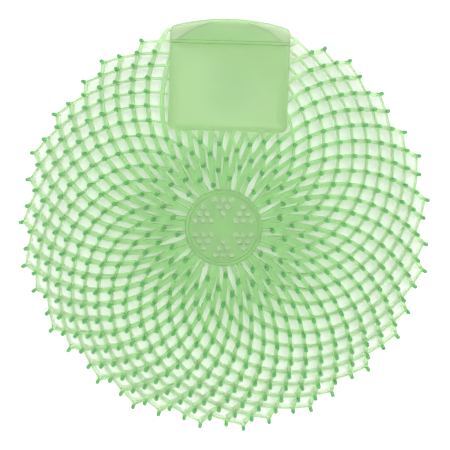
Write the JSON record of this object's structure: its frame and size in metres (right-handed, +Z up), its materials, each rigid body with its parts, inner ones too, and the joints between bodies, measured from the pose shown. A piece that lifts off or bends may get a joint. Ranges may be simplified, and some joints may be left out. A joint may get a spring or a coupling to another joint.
{
  "type": "urinal deodorizer screen",
  "caption": "Round one-piece moulded screen: a lattice of crossing spiral ribs with upright pins, a perforated hub and a plain lifting tab.",
  "frame": {"origin": "on the floor that the stubs stand on, under the hub's centre, which is the centre of the spiral lattice", "axes": "+Z up out of the bowl, along the pins; +Y from the hub towards the tab; +X to the right seen from above"},
  "size_m": [0.1752, 0.1781, 0.0108],
  "materials": {
    "eva": "translucent light green moulded EVA, satin"
  },
  "bodies": {
    "root": {"screen": "eva"}
  },
  "joints": []
}
